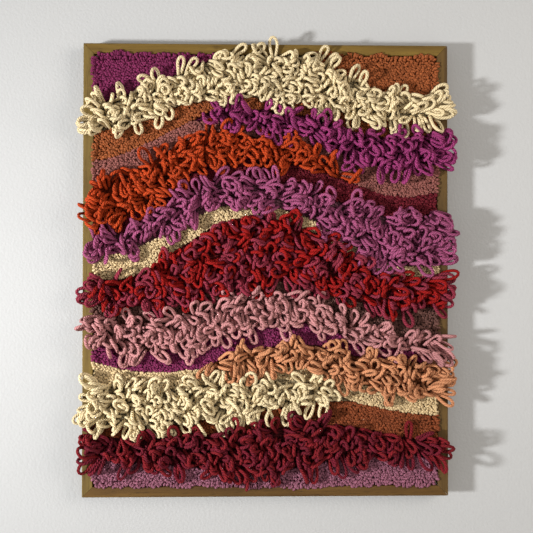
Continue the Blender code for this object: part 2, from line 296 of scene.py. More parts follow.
# A low key light from the left, a weak one from the right, one behind for the back, and a soft fill all round
Light = namedtuple("Light", "name place target size power colour spread", defaults=(180,))
LIGHTS = (
    Light("key", (-2.10, -1.27, CENTRE_Z - 0.30), (-0.10, 0, CENTRE_Z), 0.26, 14.2, (0.975, 0.985, 1.0), 62),
    Light("side", (1.9, -1.5, CENTRE_Z + 0.5), (0, 0, CENTRE_Z), 1.5, 36, (1.0, 0.93, 0.86)),
    Light("back", (0.9, 2.2, CENTRE_Z + 1.2), (0, 0, CENTRE_Z), 1.6, 60, (1.0, 1.0, 1.0)),
)
ROOM_COLOUR = (1.0, 0.985, 0.96, 1)
ROOM_STRENGTH = 0.485

# The camera, fitted to the frame's corners in the photograph
CAMERA_PLACE = (-0.0305, -1.2383, -0.3241)
CAMERA_PITCH = 0.81
CAMERA_ROLL = -0.05
CAMERA_YAW = -1.46
CAMERA_FIELD = 35

SEED = 20
RNG = np.random.default_rng(SEED)


# The layout
def edges_at(x):
    """The heights z of every edge between bands at x, from the bottom up, as in the part's source."""
    across = x / PILE_HALF_WIDTH
    shares = []
    for band in BANDS:
        a, b, t = (band.left, band.middle, across + 1) if across < 0 else (band.middle, band.right, across)
        shares.append(max(0.0, a + (b - a) * t * t * (3 - 2 * t)))
    past = max(0.0, abs(x) - (PILE_HALF_WIDTH - CORNER_RADIUS))
    inset = CORNER_RADIUS - math.sqrt(max(0.0, CORNER_RADIUS**2 - past**2))
    low = PILE_BOTTOM + inset
    high = PILE_TOP - inset
    part = np.concatenate(([0.0], np.cumsum(shares) / sum(shares)))
    phase = 2 * math.pi * x / WAVE_LENGTH + WAVE_START + WAVE_DRIFT * part
    swing = WAVE_HEIGHT * np.sin(math.pi * part) * np.sin(phase)
    swing[0] = 0
    return low + (high - low) * part + swing


STATIONS = np.linspace(-PILE_HALF_WIDTH, PILE_HALF_WIDTH, STATION_COUNT)
EDGES = np.array([edges_at(x) for x in STATIONS])
IS_SHAG = np.array([band.pile == "shag" for band in BANDS])


def edge_heights(x):
    """Every edge's height at each x, as an array of edges by places."""
    return np.array([np.interp(x, STATIONS, EDGES[:, k]) for k in range(len(BANDS) + 1)])


def band_at(x, z):
    """The number of the band at each place, or -1 outside the pile."""
    edges = edge_heights(x)
    number = (z[None, :] > edges[1:-1]).sum(axis=0)
    inside = (np.abs(x) < PILE_HALF_WIDTH) & (z > edges[0]) & (z < edges[-1])
    return np.where(inside, number, -1)


def punched_places(pitch, margin, pile):
    """Jittered places (x, z, band) for the loops of one kind of pile, kept off the bands' edges."""
    row = pitch * math.sqrt(3) / 2
    places = []
    rows = int((PILE_TOP - PILE_BOTTOM) / row) + 1
    columns = int(2 * PILE_HALF_WIDTH / pitch) + 1
    for i in range(rows):
        x = -PILE_HALF_WIDTH + (np.arange(columns) + FIRST_COLUMN + ROW_SHIFT * (i % 2)) * pitch
        z = np.full(columns, PILE_BOTTOM + (i + 0.5) * row)
        places.append(np.stack([x, z], axis=1))
    if pile == "shag":
        for x in (SIDE_INSET - PILE_HALF_WIDTH, PILE_HALF_WIDTH - SIDE_INSET):
            z = np.arange(PILE_BOTTOM + SIDE_SPACING, PILE_TOP, SIDE_SPACING)
            places.append(np.stack([np.full(len(z), x), z], axis=1))
    places = np.concatenate(places)
    places += RNG.uniform(-PLACE_JITTER, PLACE_JITTER, places.shape) * pitch
    x, z = places.T
    number = band_at(x, z)
    keep = (number >= 0) & (IS_SHAG[number] == (pile == "shag"))
    x, z, number = x[keep], z[keep], number[keep]
    edges = edge_heights(x)
    columns = np.arange(len(x))
    low = edges[number, columns] + margin
    high = edges[number + 1, columns] - margin
    z = np.where(high > low, np.clip(z, low, high), (low + high) / 2)
    x = np.clip(x, -PILE_HALF_WIDTH + margin, PILE_HALF_WIDTH - margin)
    return x, z, number


# Long loops: where they start, and how they settle on each other
def smooth_noise(x, z, patch, seed):
    """A number for each place that changes slowly over the panel, so that neighbours are alike."""
    return np.array([noise.noise(Vector((a / patch, b / patch, seed))) for a, b in zip(x, z)])


def unit(v):
    return v / np.maximum(np.linalg.norm(v, axis=-1, keepdims=True), TINY)


def near_edge(distance, reach):
    """1 at an edge, falling to 0 where its reach ends."""
    return np.clip(1 - distance / reach, 0, 1)


def level_directions(turn):
    """Directions in the panel's plane, as (x, z, height)."""
    return np.stack([np.cos(turn), np.sin(turn), np.zeros(len(turn))], axis=1)


def arches(across, along, side, up, x, z):
    """Arches of points that go across to the side and along up, one at each place."""
    points = across[..., None] * side + along[..., None] * up[:, None, :]
    points[..., 0] += x[:, None]
    points[..., 1] += z[:, None]
    return points


def lean_directions(x, z, number):
    """Which way each long loop leans in the panel's plane, as (x, z) with a length of about 1."""
    angle = LEAN_SWING * smooth_noise(x, z, LEAN_PATCH, LEAN_SEED) + RNG.normal(0, LEAN_SPREAD, len(x))
    lean = np.stack([np.cos(angle), np.sin(angle)], axis=1)
    lean[:, 1] -= DROOP
    edges = edge_heights(x)
    columns = np.arange(len(x))
    above = edges[number + 1, columns] - z
    below = z - edges[number, columns]
    lean[:, 1] += EDGE_LEAN * near_edge(above, EDGE_REACH) - EDGE_LEAN * near_edge(below, EDGE_REACH)
    at_right = near_edge(PILE_HALF_WIDTH - x, SIDE_REACH)
    at_left = near_edge(PILE_HALF_WIDTH + x, SIDE_REACH)
    lean *= (1 - SIDE_CALM * at_right - SIDE_CALM * at_left)[:, None]
    lean[:, 0] += RIGHT_LEAN * at_right**SIDE_FALLOFF - LEFT_LEAN * at_left**SIDE_FALLOFF
    return lean


def starting_loops(x, z, lean):
    """Teardrop loops that stand on their feet and lean, as (loop, point, (x, z, height))."""
    count = len(x)
    length = RNG.uniform(*SHAG_LENGTH, count)
    length *= 1 + SIDE_GROWTH * near_edge(PILE_HALF_WIDTH - np.abs(x), SIDE_REACH)
    strength = np.linalg.norm(lean, axis=1)
    tilt = np.radians(RNG.uniform(*SHAG_TILT, count)) * np.clip(strength, *LEAN_LIMITS)
    direction = np.concatenate([unit(lean), np.zeros((count, 1))], axis=1)
    up = np.cos(tilt)[:, None] * np.array([0, 0, 1]) + np.sin(tilt)[:, None] * direction
    side = level_directions(RNG.uniform(0, math.pi, count))
    side = unit(side - (side * up).sum(axis=1, keepdims=True) * up)
    turn = math.pi * np.linspace(0, 1, SHAG_POINTS)
    half_width = RNG.uniform(*SHAG_HALF_WIDTH, count)
    across = -np.cos(turn)[None, :] * half_width[:, None] * (SHAG_FOOT_SHARE + np.sin(turn))[None, :]
    along = (np.sin(turn) ** SHAG_ROUNDNESS)[None, :] * (SHAG_RISE * length)[:, None]
    twist = RNG.uniform(-SHAG_TWIST, SHAG_TWIST, count)[:, None] * along
    twist = twist / np.maximum(along.max(axis=1, keepdims=True), TINY)
    other_side = np.cross(up, side)[:, None, :]
    turned = np.cos(twist)[..., None] * side[:, None, :] + np.sin(twist)[..., None] * other_side
    return arches(across, along, turned, up, x, z), length


def floor_map():
    """What the long loops lie on: heights over a grid, with the function that reads it."""
    xs = np.arange(FRAME_LOW.x - FLOOR_BORDER, FRAME_HIGH.x + FLOOR_BORDER, FLOOR_STEP)
    zs = np.arange(FRAME_LOW.z - FLOOR_BORDER, FRAME_HIGH.z + FLOOR_BORDER, FLOOR_STEP)
    grid_x, grid_z = np.meshgrid(xs, zs, indexing="ij")
    number = band_at(grid_x.ravel(), grid_z.ravel()).reshape(grid_x.shape)
    ground = (number >= 0) & ~IS_SHAG[number]
    opening = (np.abs(grid_x) < OPENING_HALF_WIDTH) & (np.abs(grid_z - CENTRE_Z) < OPENING_HALF_HEIGHT)
    height = np.where(opening, np.where(ground, GROUND_HEIGHT, 0.0), FACE_HEIGHT)
    for _ in range(FLOOR_SMOOTHINGS):
        height[1:-1] = (height[:-2] + 2 * height[1:-1] + height[2:]) / 4
        height[:, 1:-1] = (height[:, :-2] + 2 * height[:, 1:-1] + height[:, 2:]) / 4

    def read(x, z):
        i = np.clip(((x - xs[0]) / FLOOR_STEP).astype(int), 0, len(xs) - 1)
        j = np.clip(((z - zs[0]) / FLOOR_STEP).astype(int), 0, len(zs) - 1)
        return height[i, j]

    return read


def clear_of_rails(points, radius):
    """Moves the middle line of yarn that would go into the rails off their face and their inner edge."""
    for axis, middle, half in ((0, 0.0, OPENING_HALF_WIDTH), (1, CENTRE_Z, OPENING_HALF_HEIGHT)):
        offset = points[..., axis] - middle
        beside = np.maximum(half - np.abs(offset), 0)
        above = np.maximum(points[..., 2] - FACE_HEIGHT, 0)
        distance = np.hypot(beside, above)
        scale = radius / np.maximum(distance, TINY)
        sunk = distance < radius
        moved = middle + np.sign(offset) * (half - beside * scale)
        points[..., axis] = np.where(sunk & (beside > 0), moved, points[..., axis])
        raised = FACE_HEIGHT + np.where(distance > 0, above * scale, radius)
        points[..., 2] = np.where(sunk & ((above > 0) | (beside == 0)), raised, points[..., 2])


def close_pairs(flat, loop, place, reach):
    """Pairs of points nearer than reach, leaving out neighbours along one loop."""
    cell = np.floor((flat - flat.min(axis=0)) / reach).astype(np.int64) + 1
    span = cell.max(axis=0) + 2
    key = (cell[:, 0] * span[1] + cell[:, 1]) * span[2] + cell[:, 2]
    order = np.argsort(key, kind="stable")
    ranked = key[order]
    firsts, seconds = [], []
    steps = (-1, 0, 1)
    offsets = [(a, b, c) for a in steps for b in steps for c in steps if (a, b, c) >= (0, 0, 0)]
    for a, b, c in offsets:
        wanted = key + (a * span[1] + b) * span[2] + c
        left = np.searchsorted(ranked, wanted, "left")
        count = np.searchsorted(ranked, wanted, "right") - left
        first = np.repeat(np.arange(len(flat)), count)
        start = np.repeat(left - np.concatenate(([0], np.cumsum(count)[:-1])), count)
        second = order[start + np.arange(count.sum())]
        if (a, b, c) == (0, 0, 0):
            once = second > first
            first, second = first[once], second[once]
        apart = (loop[first] != loop[second]) | (np.abs(place[first] - place[second]) > NEIGHBOUR_STEPS)
        first, second = first[apart], second[apart]
        near = ((flat[first] - flat[second]) ** 2).sum(axis=1) < reach**2
        firsts.append(first[near])
        seconds.append(second[near])
    return np.concatenate(firsts), np.concatenate(seconds)


def push_apart(flat, pairs, free, least):
    """Moves points that are nearer than least away from each other."""
    first, second = pairs
    gap = flat[first] - flat[second]
    distance = np.sqrt((gap**2).sum(axis=1))
    touching = distance < least
    first, second, gap, distance = first[touching], second[touching], gap[touching], distance[touching]
    push = gap * (PUSH_SHARE * (least - distance) / np.maximum(distance, TINY))[:, None]
    for axis in range(3):
        moved = np.bincount(first, push[:, axis], len(flat)) - np.bincount(second, push[:, axis], len(flat))
        flat[:, axis] += moved * free


def hold_lengths(points, rest, gap, free, stiffness, only_open=False):
    """Pulls points that are gap steps apart along a loop towards their distance at rest."""
    step = points[:, gap:] - points[:, :-gap]
    distance = np.linalg.norm(step, axis=2, keepdims=True)
    excess = distance - rest[:, None, None] * gap
    if only_open:
        excess = np.minimum(excess, 0)
    correction = step * (stiffness * excess / np.maximum(distance, TINY))
    weight_near = free[:, :-gap, None]
    weight_far = free[:, gap:, None]
    total = np.maximum(weight_near + weight_far, TINY)
    points[:, :-gap] += correction * weight_near / total
    points[:, gap:] -= correction * weight_far / total


def settle(points, length, lean, open_end):
    """Lets long loops come to rest on each other: fixed feet, springy yarn, no two strands in one place."""
    count, size, _ = points.shape
    rest = length / (size - 1)
    free = np.ones((count, size))
    free[:, :2] = 0
    free[:, -2:] = 0
    free[open_end, -2:] = 1
    upward = np.array([0, 0, 1])
    foot = points[:, 0].copy()
    for end in (0, 1):
        points[:, end] = foot + upward * (rest * end)[:, None]
    to_other = FOOT_GAP * unit(points[:, -1, :2] - foot[:, :2])
    other = foot + np.concatenate([to_other, np.zeros((count, 1))], axis=1)
    closed = ~open_end
    for end in (0, 1):
        points[closed, -1 - end] = (other + upward * (rest * end)[:, None])[closed]
    loop = np.repeat(np.arange(count), size)
    place = np.tile(np.arange(size), count)
    loose = free.ravel()
    floor = floor_map()
    tip = np.sin(math.pi * np.linspace(0, 1, size))[None, :, None]
    pull = np.concatenate([LEAN_PULL * lean, np.full((count, 1), -SINK_PULL)], axis=1)[:, None, :]
    bend = RNG.uniform(*SPRINGINESS, count)[:, None, None]
    stay_open = [(gap, RNG.uniform(*shares, count)) for gap, shares in STAY_OPEN]
    for step in range(SETTLE_STEPS):
        points += pull * tip * free[..., None]
        for gap, share in reversed(stay_open):
            hold_lengths(points, rest * share, gap, free, bend, only_open=True)
        for _ in range(LENGTH_PASSES):
            hold_lengths(points, rest, 1, free, LENGTH_STIFFNESS)
        flat = points.reshape(-1, 3)
        if step % PAIR_RENEWAL == 0:
            pairs = close_pairs(flat, loop, place, 2 * SHAG_RADIUS * PAIR_REACH)
        push_apart(flat, pairs, loose, STRAND_GAP)
        least = floor(flat[:, 0], flat[:, 1]) + SHAG_RADIUS
        flat[:, 2] = np.where(loose > 0, np.maximum(flat[:, 2], least), flat[:, 2])
        points = flat.reshape(count, size, 3)
    middle = points[:, 1:-1]
    softer = (points[:, :-2] + 2 * middle + points[:, 2:]) / 4
    points[:, 1:-1] = np.where(free[:, 1:-1, None] > 0, softer, middle)
    clear_of_rails(points, SHAG_THICKNESS[1] * SHAG_RADIUS)
    return points


# Tubes
def tube_mesh(name, points, radius, sides, tone):
    """One mesh of a closed tube along each row of points, with length and turn as UVs and a tone each."""
    count, size, _ = points.shape
    tangent = np.empty_like(points)
    tangent[:, 1:-1] = points[:, 2:] - points[:, :-2]
    tangent[:, 0] = points[:, 1] - points[:, 0]
    tangent[:, -1] = points[:, -1] - points[:, -2]
    tangent = unit(tangent)
    aside = np.where(np.abs(tangent[:, :1, 0]) < MOSTLY_SIDEWAYS, [[1.0, 0, 0]], [[0, 1.0, 0]])
    carried = [unit(np.cross(tangent[:, 0], aside))]
    for i in range(1, size):
        last = carried[-1]
        carried.append(unit(last - (last * tangent[:, i]).sum(axis=1, keepdims=True) * tangent[:, i]))
    across = np.stack(carried, axis=1)
    other = np.cross(tangent, across)
    angle = 2 * math.pi * np.arange(sides) / sides
    ring = across[:, :, None] * np.cos(angle)[:, None] + other[:, :, None] * np.sin(angle)[:, None]
    vertices = points[:, :, None] + ring * radius[:, None, None, None]
    world = np.empty_like(vertices)
    world[..., 0] = vertices[..., 0]
    world[..., 1] = CLOTH_FRONT_Y - vertices[..., 2]
    world[..., 2] = vertices[..., 1]

    base = (np.arange(count) * size * sides)[:, None, None]
    i = np.arange(size - 1)[None, :, None] * sides
    j = np.arange(sides)[None, None, :]
    k = (j + 1) % sides
    quads = np.stack([base + i + j, base + i + k, base + i + sides + k, base + i + sides + j], axis=-1)
    quads = quads.reshape(-1, 4)
    start_caps = base[:, 0] + np.arange(sides)[None, ::-1]
    end_caps = base[:, 0] + (size - 1) * sides + np.arange(sides)[None, :]

    travelled = np.zeros((count, size))
    travelled[:, 1:] = np.cumsum(np.linalg.norm(np.diff(points, axis=1), axis=2), axis=1)
    near = np.broadcast_to(travelled[:, :-1, None], (count, size - 1, sides))
    far = np.broadcast_to(travelled[:, 1:, None], (count, size - 1, sides))
    turn = np.broadcast_to(j / sides, (count, size - 1, sides))
    next_turn = turn + 1 / sides
    u = np.stack([near, near, far, far], axis=-1).ravel()
    v = np.stack([turn, next_turn, next_turn, turn], axis=-1).ravel()
    uv = np.concatenate([np.stack([u, v], axis=1), np.zeros((2 * count * sides, 2))])

    mesh = bpy.data.meshes.new(name)
    mesh.vertices.add(count * size * sides)
    mesh.vertices.foreach_set("co", world.ravel())
    corners = np.concatenate([quads.ravel(), start_caps.ravel(), end_caps.ravel()])
    mesh.loops.add(len(corners))
    mesh.loops.foreach_set("vertex_index", corners.astype(np.int32))
    totals = np.concatenate([np.full(len(quads), 4), np.full(2 * count, sides)])
    mesh.polygons.add(len(totals))
    starts = np.concatenate(([0], np.cumsum(totals)[:-1]))
    mesh.polygons.foreach_set("loop_start", starts.astype(np.int32))
    mesh.polygons.foreach_set("use_smooth", np.ones(len(totals), bool))
    mesh.uv_layers.new(name="yarn").data.foreach_set("uv", uv.ravel())
    mesh.attributes.new("tone", "FLOAT", "POINT").data.foreach_set("value", np.repeat(tone, size * sides))
    mesh.update()
    mesh.validate()
    return mesh


def add_piece(name, mesh, materials, slot, *replaced):
    obj = bpy.data.objects.new(name, mesh)
    bpy.context.scene.collection.objects.link(obj)
    for made in materials:
        mesh.materials.append(made)
    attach(obj, "root")
    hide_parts(*replaced)
    return obj


# Materials
def linear(colour):
    """Display values from 0 to 255 as linear light."""
    return tuple(((c / 255 + 0.055) / 1.055) ** 2.4 if c > 10 else c / 255 / 12.92 for c in colour)


class Nodes:
    """A material's node tree, with short ways to add to it."""

    def __init__(self, name):
        self.material = bpy.data.materials.new(name)
        self.material.use_nodes = True
        self.tree = self.material.node_tree
        self.shader = self.tree.nodes["Principled BSDF"]

    def add(self, kind, **settings):
        node = self.tree.nodes.new(kind)
        for key, value in settings.items():
            setattr(node, key, value)
        return node

    def join(self, source, target):
        self.tree.links.new(source, target)

    def place(self):
        """The place on the object."""
        return self.add("ShaderNodeTexCoord").outputs["Object"]

    def split(self, vector):
        """The three parts of a vector."""
        node = self.add("ShaderNodeSeparateXYZ")
        self.join(vector, node.inputs[0])
        return node.outputs

    def math(self, operation, *values):
        node = self.add("ShaderNodeMath", operation=operation)
        for socket, value in zip(node.inputs, values):
            if isinstance(value, (int, float)):
                socket.default_value = value
            else:
                self.join(value, socket)
        return node.outputs[0]

    def tone(self, value, least, more):
        """The least share of light, and more of it as the value rises from 0 to 1."""
        return self.math("ADD", least, self.math("MULTIPLY", value, more))

    def ripple(self, value, turn):
        """Rounded ridges, one each time that the value times the turn passes half a circle."""
        return self.math("ABSOLUTE", self.math("SINE", self.math("MULTIPLY", value, turn)))

    def crown(self, value):
        """One rounded rise between each whole number and the next."""
        return self.math("SINE", self.math("MULTIPLY", self.math("FRACT", value), math.pi))

    def random(self, number):
        node = self.add("ShaderNodeTexWhiteNoise", noise_dimensions="1D")
        self.join(number, node.inputs["W"])
        return node.outputs["Value"]

    def mix(self, factor, a, b, blend="MIX"):
        """A colour between a and b, each a socket or a linear colour."""
        node = self.add("ShaderNodeMix", data_type="RGBA", blend_type=blend)
        for socket, value in ((node.inputs[0], factor), (node.inputs[6], a), (node.inputs[7], b)):
            if isinstance(value, (int, float)):
                socket.default_value = value
            elif isinstance(value, tuple):
                socket.default_value = (*value, 1)
            else:
                self.join(value, socket)
        return node.outputs[2]

    def shaded(self, colour, shade):
        """A colour times a share of light."""
        grey = self.add("ShaderNodeCombineColor")
        for socket in grey.inputs:
            self.join(shade, socket)
        return self.mix(1.0, colour, grey.outputs[0], "MULTIPLY")

    def noise(self, vector, scale, detail=2.0, roughness=0.5):
        node = self.add("ShaderNodeTexNoise")
        node.inputs["Scale"].default_value = scale
        node.inputs["Detail"].default_value = detail
        node.inputs["Roughness"].default_value = roughness
        self.join(vector, node.inputs["Vector"])
        return node.outputs[0]

    def ramp(self, value, low, high):
        """The value spread from low to high onto 0 to 1."""
        node = self.add("ShaderNodeMapRange")
        node.inputs["From Min"].default_value = low
        node.inputs["From Max"].default_value = high
        self.join(value, node.inputs["Value"])
        return node.outputs[0]

    def bump(self, height, distance, strength, under=None):
        node = self.add("ShaderNodeBump")
        node.inputs["Strength"].default_value = strength
        node.inputs["Distance"].default_value = distance
        self.join(height, node.inputs["Height"])
        if under is not None:
            self.join(under, node.inputs["Normal"])
        return node.outputs[0]

    def finish(self, colour, relief, settings):
        """Gives the shader its colour, its relief and its constant values, and returns the material."""
        self.join(colour, self.shader.inputs["Base Color"])
        self.join(relief, self.shader.inputs["Normal"])
        for name, value in settings.items():
            self.shader.inputs[name].default_value = value
        return self.material


def yarn_material(name, colour, second, ply_length, groove_depth, groove_shade):
    """Plied wool: twisted plies from the UVs with painted shade in their grooves, fuzz, an uneven tone for
    each loop, and a soft sheen.
    """
    nodes = Nodes(name)
    uv = nodes.split(nodes.add("ShaderNodeUVMap", uv_map="yarn").outputs[0])
    along = nodes.math("MULTIPLY", uv[0], PLIES / ply_length)
    around = nodes.math("MULTIPLY", uv[1], float(PLIES))
    ply = nodes.ripple(nodes.math("ADD", along, around), math.pi)
    place = nodes.place()
    fuzz = nodes.noise(place, *YARN_FUZZ)
    patch = nodes.noise(place, *YARN_PATCHES)
    own = nodes.add("ShaderNodeAttribute", attribute_name="tone").outputs["Fac"]

    base = linear(colour)
    if second:
        chosen = nodes.math("GREATER_THAN", own, SECOND_YARN_FROM)
        base = nodes.mix(chosen, base, linear(second))
    shade = nodes.tone(nodes.math("FRACT", nodes.math("MULTIPLY", own, TONE_SCRAMBLE)), *LOOP_TONE)
    shade = nodes.math("MULTIPLY", shade, nodes.tone(patch, *PATCH_TONE))
    # Painted shade in the grooves between the plies, and painted light on their ridges
    shade = nodes.math("MULTIPLY", shade, nodes.tone(ply, PLY_RIDGE_PAINTED_LIGHT - groove_shade, groove_shade))
    shade = nodes.math("MULTIPLY", shade, nodes.tone(fuzz, *FUZZ_TONE))
    relief = nodes.bump(ply, groove_depth, GROOVE_STRENGTH)
    relief = nodes.bump(fuzz, FUZZ_DEPTH, FUZZ_STRENGTH, relief)
    sheen = {"Sheen Tint": (*linear(colour), 1)}
    return nodes.finish(nodes.shaded(base, shade), relief, YARN_FINISH | sheen)


def oak_material(name, along, light, dark):
    """Oiled open-grained oak, with its grain along that axis, between a light and a dark tone."""
    nodes = Nodes(name)
    place = nodes.place()
    stretch = nodes.add("ShaderNodeMapping")
    scale = [1.0, 1.0, 1.0]
    scale[along] = GRAIN_STRETCH
    stretch.inputs["Scale"].default_value = scale
    nodes.join(place, stretch.inputs["Vector"])
    figure = nodes.noise(stretch.outputs[0], *OAK_FIGURE)
    pores = nodes.noise(stretch.outputs[0], *OAK_PORES)
    wear = nodes.ramp(nodes.noise(place, *OAK_WEAR), *WEAR_RANGE)
    light, dark = linear(light), linear(dark)
    base = nodes.mix(nodes.ramp(figure, *FIGURE_RANGE), dark, light)
    base = nodes.mix(nodes.ramp(pores, *PORE_RANGE), base, tuple(PORE_TONE * c for c in dark))
    base = nodes.mix(nodes.math("MULTIPLY", wear, WEAR_SHARE), base, dark)
    nodes.join(nodes.tone(pores, *OAK_ROUGHNESS), nodes.shader.inputs["Roughness"])
    relief = nodes.bump(pores, PORE_DEPTH, PORE_STRENGTH)
    relief = nodes.bump(figure, FIGURE_DEPTH, FIGURE_STRENGTH, relief)
    return nodes.finish(base, relief, OAK_FINISH)


def cloth_material():
    """The foundation cloth: rows of flat stitches in the yarn's colour where it is punched, and its weave,
    with painted shade between stitches and threads.
    """
    nodes = Nodes("stitched_canvas")
    place = nodes.place()
    part = nodes.split(place)
    stitches = nodes.split(nodes.add("ShaderNodeUVMap", uv_map="stitches").outputs[0])
    yarn = nodes.add("ShaderNodeAttribute", attribute_name="yarn").outputs["Color"]
    punched = nodes.add("ShaderNodeAttribute", attribute_name="punched").outputs["Fac"]
    across = nodes.ripple(part[0], math.pi / WEAVE)
    down = nodes.ripple(part[2], math.pi / WEAVE)
    weave = nodes.math("MULTIPLY", across, down)

    drift = nodes.math("SUBTRACT", nodes.noise(place, *STITCH_DRIFT), 0.5)
    wander = nodes.math("MULTIPLY", drift, STITCH_WANDER)
    row = nodes.math("ADD", nodes.math("DIVIDE", stitches[1], STITCH_ROW), wander)
    row_number = nodes.math("FLOOR", row)
    along = nodes.math("ADD", nodes.math("DIVIDE", stitches[0], STITCH_LENGTH), nodes.random(row_number))
    row_share = nodes.math("MULTIPLY", row_number, ROW_SCRAMBLE)
    own = nodes.random(nodes.math("ADD", nodes.math("FLOOR", along), row_share))
    ends = nodes.math("POWER", nodes.crown(along), STITCH_ENDS)
    sides = nodes.math("POWER", nodes.crown(row), STITCH_SIDES)
    stitch = nodes.math("MULTIPLY", ends, sides)

    fibres = nodes.noise(place, *CLOTH_FIBRES)
    # The weave's darker colour is painted shade in the gaps between its threads
    low, high = WEAVE_THREAD_AND_SHADE_COLOURS
    canvas = nodes.mix(weave, linear(low), linear(high))
    # Painted shade at the ends and sides of each flat stitch, times an uneven tone for each stitch
    shade = nodes.math("MULTIPLY", nodes.tone(stitch, *STITCH_SHADE), nodes.tone(own, *STITCH_TONE))
    base = nodes.mix(punched, canvas, nodes.shaded(yarn, shade))
    base = nodes.mix(nodes.math("MULTIPLY", fibres, FIBRE_SHARE), base, linear(FIBRE_COLOUR))
    stitch_height = nodes.math("MULTIPLY", stitch, punched)
    height = nodes.math("ADD", stitch_height, nodes.math("MULTIPLY", weave, WEAVE_SHARE))
    relief = nodes.bump(height, STITCH_DEPTH, STITCH_STRENGTH)
    relief = nodes.bump(fibres, FIBRE_DEPTH, FIBRE_STRENGTH, relief)
    return nodes.finish(base, relief, CLOTH_FINISH)


def paint_material(name, colour, depth):
    """Matte paint with a faint roller texture."""
    nodes = Nodes(name)
    place = nodes.place()
    darker = tuple(c * PAINT_TONE for c in colour)
    tone = nodes.mix(nodes.noise(place, *PAINT_DRIFT), linear(colour), linear(darker))
    relief = nodes.bump(nodes.noise(place, *PAINT_SPECKLE), depth, PAINT_STRENGTH)
    return nodes.finish(tone, relief, PAINT_FINISH)


# The pieces
def add_bands(pile, number, points, radius, sides, look):
    """One piece of yarn for each band of that pile, with the look that a band gets."""
    tone = RNG.random(len(number))
    made = []
    for k, band in enumerate(BANDS):
        if band.pile != pile:
            continue
        own = number == k
        mesh = tube_mesh("loops_" + band.name, points[own], radius[own], sides, tone[own])
        made.append(add_piece("loops_" + band.name, mesh, [look(band)], band.colour, band.name))
    return made


def long_look(band):
    yarn = YARNS[band.colour]
    grooves = (SHAG_PLY_LENGTH, yarn.groove_depth, yarn.groove_shade)
    return yarn_material("long_" + band.name, yarn.long, yarn.second, *grooves)


def short_look(band):
    yarn = YARNS[band.colour]
    grooves = (GROUND_PLY_LENGTH, GROUND_GROOVE_DEPTH, GROUND_GROOVE_SHADE)
    return yarn_material("short_" + band.name, yarn.short, None, *grooves)


def add_shag():
    """Every band of long loops, settled together and then kept apart as one piece each."""
    x, z, number = punched_places(SHAG_PITCH, SHAG_MARGIN, "shag")
    lean = lean_directions(x, z, number)
    points, length = starting_loops(x, z, lean)
    open_end = RNG.random(len(x)) < OPEN_SHARE
    points = settle(points, length, lean, open_end)
    radius = SHAG_RADIUS * RNG.uniform(*SHAG_THICKNESS, len(x))
    return add_bands("shag", number, points, radius, SHAG_SIDES, long_look)


def ground_loops(x, z):
    """Low arches of yarn that stand close together, each turned its own way."""
    count = len(x)
    side = level_directions(RNG.uniform(0, 2 * math.pi, count))[:, None, :]
    uneven = smooth_noise(x, z, RIM_PATCH, RIM_SEED)
    spill = np.clip(1 + RIM_UNEVENNESS * uneven, *RIM_SPILL)
    at_right = near_edge(PILE_HALF_WIDTH - x, RIM_REACH)
    at_left = near_edge(PILE_HALF_WIDTH + x, RIM_REACH)
    at_top = near_edge(PILE_TOP - z, RIM_REACH)
    at_bottom = near_edge(z - PILE_BOTTOM, RIM_REACH)
    outward = np.stack([spill * (at_right - at_left), spill * (at_top - at_bottom)], axis=1)
    tilt = RNG.normal(0, GROUND_TILT, (count, 2)) + RIM_TILT * outward
    up = unit(np.concatenate([tilt, np.ones((count, 1))], axis=1))
    turn = math.pi * np.linspace(0, 1, GROUND_POINTS)
    height = GROUND_HEIGHT * RNG.uniform(*GROUND_HEIGHT_SHARES, count) - GROUND_RADIUS
    height *= 1 + RIM_GROWTH * np.abs(outward).max(axis=1)
    across = -np.cos(turn)[None, :] * GROUND_HALF_WIDTH
    along = (np.sin(turn) ** GROUND_ROUNDNESS)[None, :] * height[:, None]
    points = arches(across, along, side, up, x, z)
    clear_of_rails(points, GROUND_THICKNESS[1] * GROUND_RADIUS)
    return points


def add_ground():
    """Every band of short loops, one piece each."""
    x, z, number = punched_places(GROUND_PITCH, GROUND_MARGIN, "ground")
    points = ground_loops(x, z)
    radius = GROUND_RADIUS * RNG.uniform(*GROUND_THICKNESS, len(x))
    return add_bands("ground", number, points, radius, GROUND_SIDES, short_look)


def sheet_rows(x):
    """The heights of the sheet's rows at each x, the band of each row, and the bands' edges."""
    edges = edge_heights(np.clip(x, -PILE_HALF_WIDTH, PILE_HALF_WIDTH))
    heights = [np.full(len(x), CLOTH_LOW.z)]
    numbers = [-1]
    for k in range(len(BANDS)):
        steps = max(1, round((edges[k + 1] - edges[k]).max() / SHEET_ROW))
        for i in range(steps):
            heights.append(edges[k] + (edges[k + 1] - edges[k]) * i / steps)
            numbers.append(k)
    heights += [edges[-1], np.full(len(x), CLOTH_HIGH.z)]
    numbers.append(-1)
    return np.array(heights), np.array(numbers), edges


